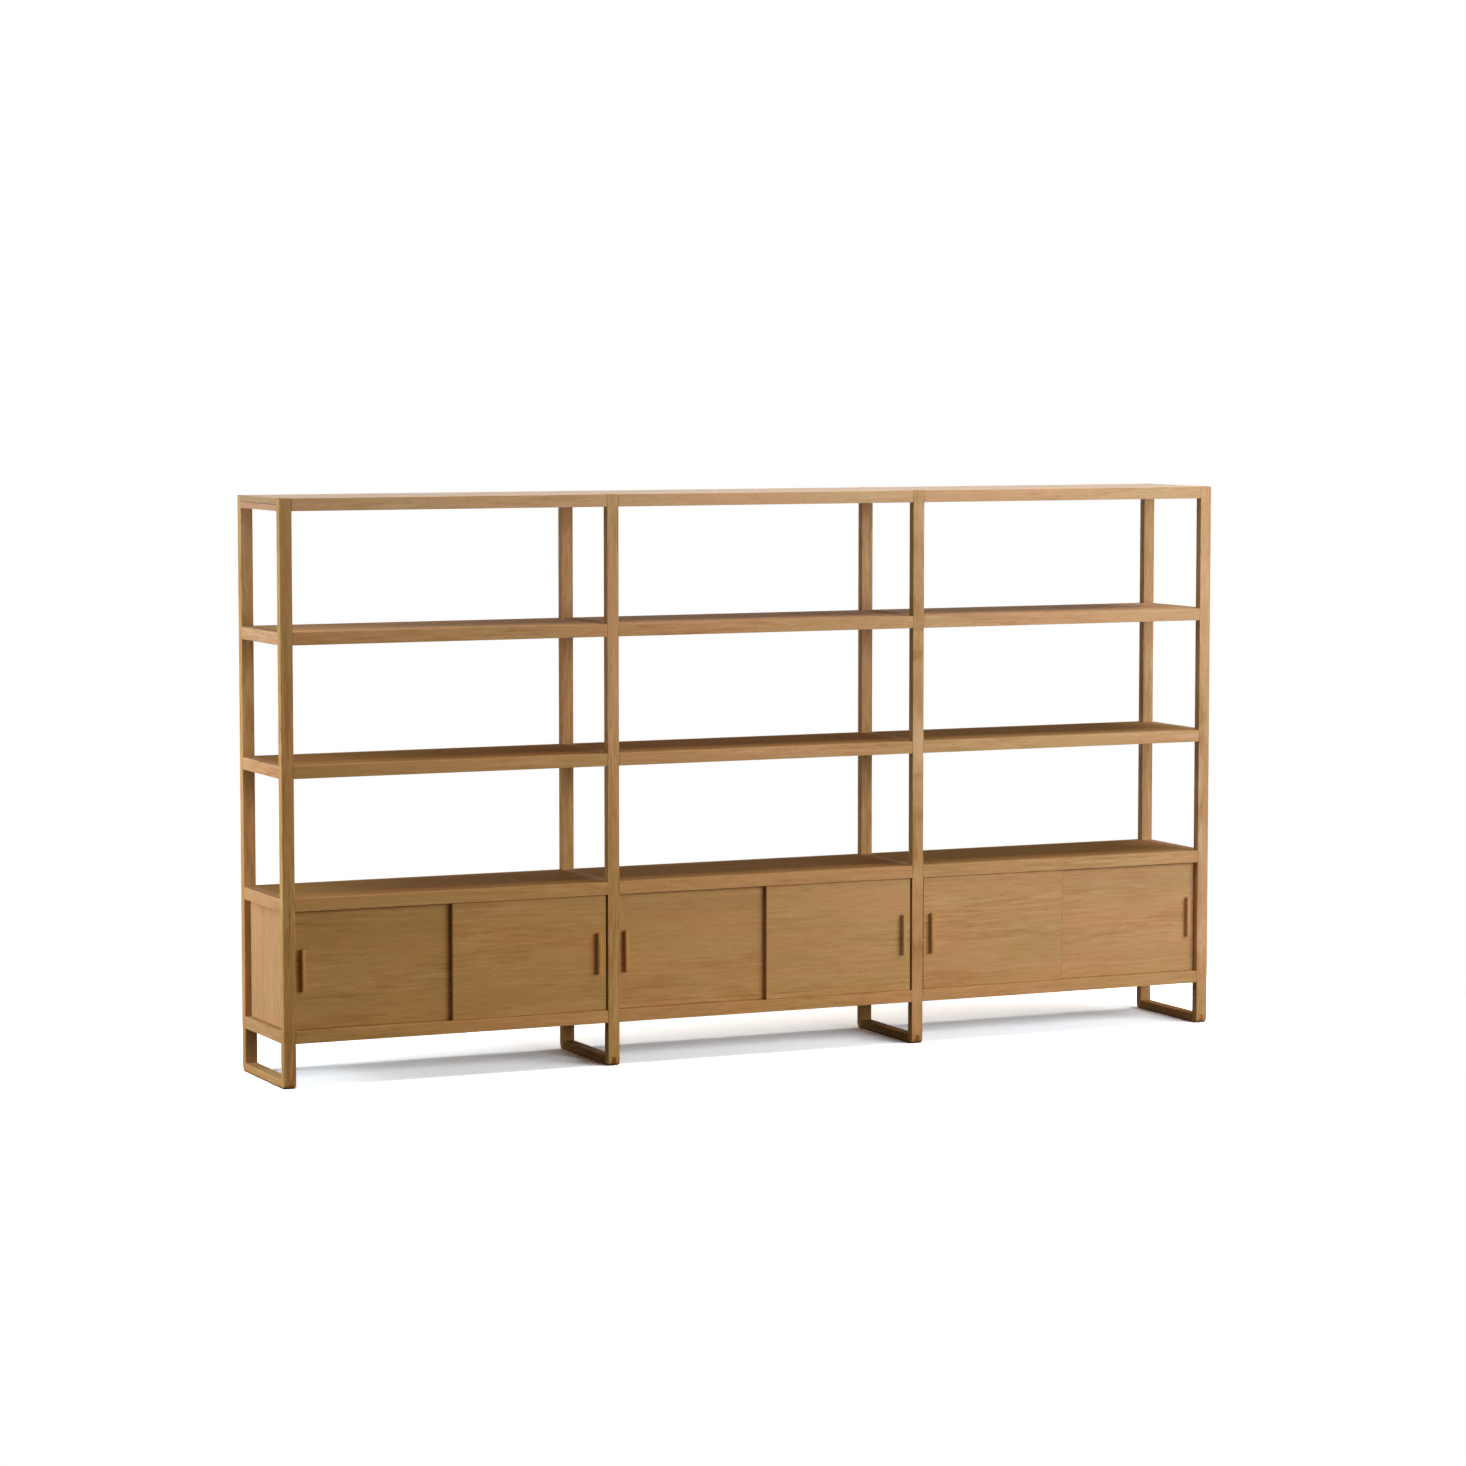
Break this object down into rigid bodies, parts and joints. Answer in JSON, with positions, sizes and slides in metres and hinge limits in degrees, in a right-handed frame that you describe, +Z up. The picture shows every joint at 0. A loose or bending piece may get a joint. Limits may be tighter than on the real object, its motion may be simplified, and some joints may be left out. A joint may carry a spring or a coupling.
{
  "type": "shelving unit",
  "caption": "Wide oak shelving unit on sled feet: ladder frames carry open shelves, with a low cabinet behind sliding doors along the bottom.",
  "frame": {"origin": "on the floor, in the middle of the outer box", "axes": "+X along the unit's length, to the right as seen from the front; -Y towards the viewer in front of the doors; +Z up"},
  "size_m": [3.258, 0.412, 1.8],
  "materials": {
    "oak_post": "matt oiled oak, upright grain",
    "oak_rail": "matt oiled oak, grain along the rail",
    "oak_board": "matt oiled oak, grain along the board",
    "oak_panel": "matt oiled oak, upright grain",
    "oak_door": "matt oiled oak, level grain",
    "oak_handle": "matt oiled oak, upright grain"
  },
  "bodies": {
    "carcass": {"bay_1_cabinet_back": "oak_panel", "bay_1_cabinet_floor": "oak_board", "bay_1_cabinet_top": "oak_board", "bay_1_lower_shelf": "oak_board", "bay_1_unit_top": "oak_board", "bay_1_upper_shelf": "oak_board", "bay_2_cabinet_back": "oak_panel", "bay_2_cabinet_floor": "oak_board", "bay_2_cabinet_top": "oak_board", "bay_2_lower_shelf": "oak_board", "bay_2_unit_top": "oak_board", "bay_2_upper_shelf": "oak_board", "bay_3_cabinet_back": "oak_panel", "bay_3_cabinet_floor": "oak_board", "bay_3_cabinet_top": "oak_board", "bay_3_lower_shelf": "oak_board", "bay_3_unit_top": "oak_board", "bay_3_upper_shelf": "oak_board", "frame_1_back_post": "oak_post", "frame_1_cabinet_side": "oak_panel", "frame_1_foot_rail": "oak_rail", "frame_1_front_post": "oak_post", "frame_1_lower_shelf_side_rail": "oak_rail", "frame_1_unit_top_side_rail": "oak_rail", "frame_1_upper_shelf_side_rail": "oak_rail", "frame_2_back_post": "oak_post", "frame_2_cabinet_side": "oak_panel", "frame_2_foot_rail": "oak_rail", "frame_2_front_post": "oak_post", "frame_2_lower_shelf_side_rail": "oak_rail", "frame_2_unit_top_side_rail": "oak_rail", "frame_2_upper_shelf_side_rail": "oak_rail", "frame_3_back_post": "oak_post", "frame_3_cabinet_side": "oak_panel", "frame_3_foot_rail": "oak_rail", "frame_3_front_post": "oak_post", "frame_3_lower_shelf_side_rail": "oak_rail", "frame_3_unit_top_side_rail": "oak_rail", "frame_3_upper_shelf_side_rail": "oak_rail", "frame_4_back_post": "oak_post", "frame_4_cabinet_side": "oak_panel", "frame_4_foot_rail": "oak_rail", "frame_4_front_post": "oak_post", "frame_4_lower_shelf_side_rail": "oak_rail", "frame_4_unit_top_side_rail": "oak_rail", "frame_4_upper_shelf_side_rail": "oak_rail"},
    "bay_1_left_door": {"bay_1_left_door": "oak_door", "bay_1_left_handle": "oak_handle"},
    "bay_1_right_door": {"bay_1_right_door": "oak_door", "bay_1_right_handle": "oak_handle"},
    "bay_2_left_door": {"bay_2_left_door": "oak_door", "bay_2_left_handle": "oak_handle"},
    "bay_2_right_door": {"bay_2_right_door": "oak_door", "bay_2_right_handle": "oak_handle"},
    "bay_3_left_door": {"bay_3_left_door": "oak_door", "bay_3_left_handle": "oak_handle"},
    "bay_3_right_door": {"bay_3_right_door": "oak_door", "bay_3_right_handle": "oak_handle"}
  },
  "joints": [
    {"name": "bay_1_left_slide", "type": "slide", "parent": "carcass", "child": "bay_1_left_door", "axis": [1, 0, 0], "range_m": [0, 0.477]},
    {"name": "bay_1_right_slide", "type": "slide", "parent": "carcass", "child": "bay_1_right_door", "axis": [1, 0, 0], "range_m": [-0.477, 0]},
    {"name": "bay_2_left_slide", "type": "slide", "parent": "carcass", "child": "bay_2_left_door", "axis": [1, 0, 0], "range_m": [0, 0.477]},
    {"name": "bay_2_right_slide", "type": "slide", "parent": "carcass", "child": "bay_2_right_door", "axis": [1, 0, 0], "range_m": [-0.477, 0]},
    {"name": "bay_3_left_slide", "type": "slide", "parent": "carcass", "child": "bay_3_left_door", "axis": [1, 0, 0], "range_m": [0, 0.477]},
    {"name": "bay_3_right_slide", "type": "slide", "parent": "carcass", "child": "bay_3_right_door", "axis": [1, 0, 0], "range_m": [-0.477, 0]}
  ]
}
